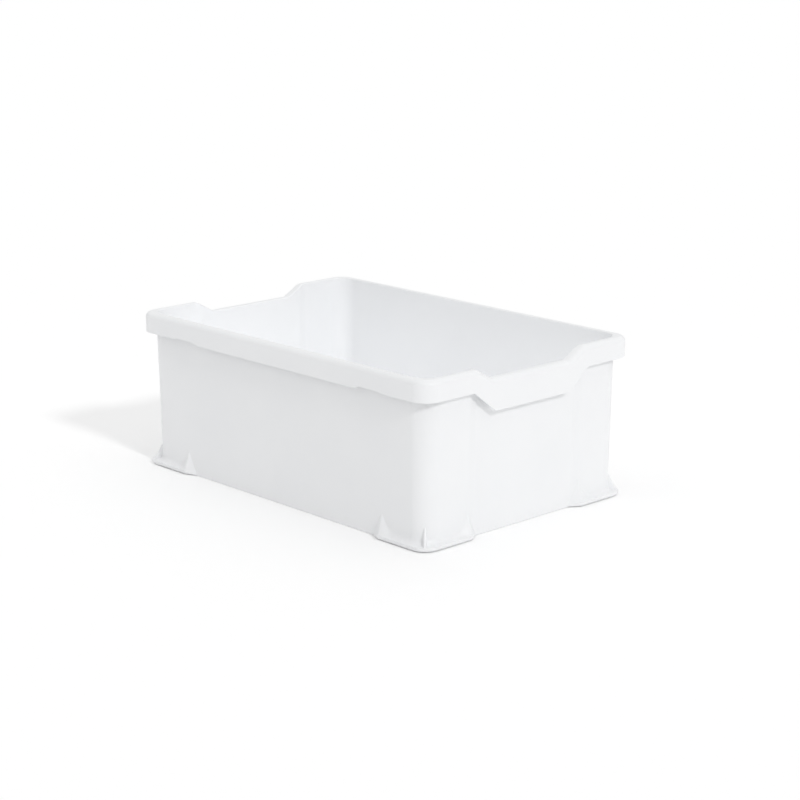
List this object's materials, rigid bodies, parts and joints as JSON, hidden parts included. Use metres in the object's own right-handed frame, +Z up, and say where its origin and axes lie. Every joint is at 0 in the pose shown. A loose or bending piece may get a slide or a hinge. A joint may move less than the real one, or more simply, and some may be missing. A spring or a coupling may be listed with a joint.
{
  "type": "plastic crate",
  "caption": "Open-topped stacking crate with solid tapered walls, a downturned rim with lowered end grips, and flared corner feet, for carrying and stacking a harvest.",
  "frame": {"origin": "on the ground under the middle of the crate", "axes": "+X along the crate towards its right grip, +Y towards its back wall, +Z up"},
  "size_m": [0.6, 0.4, 0.23],
  "materials": {
    "crate_plastic": "satin, moulded white polyethylene"
  },
  "bodies": {
    "root": {"floor_panel": "crate_plastic", "floor_ribs": "crate_plastic", "front_wall": "crate_plastic", "back_wall": "crate_plastic", "left_end_wall": "crate_plastic", "right_end_wall": "crate_plastic", "front_rim_rail": "crate_plastic", "back_rim_rail": "crate_plastic", "left_grip_rail": "crate_plastic", "right_grip_rail": "crate_plastic", "front_left_corner_post": "crate_plastic", "front_right_corner_post": "crate_plastic", "back_left_corner_post": "crate_plastic", "back_right_corner_post": "crate_plastic", "front_left_corner_foot": "crate_plastic", "front_right_corner_foot": "crate_plastic", "back_left_corner_foot": "crate_plastic", "back_right_corner_foot": "crate_plastic", "front_left_rim_pad": "crate_plastic", "front_right_rim_pad": "crate_plastic", "back_left_rim_pad": "crate_plastic", "back_right_rim_pad": "crate_plastic"}
  },
  "joints": []
}
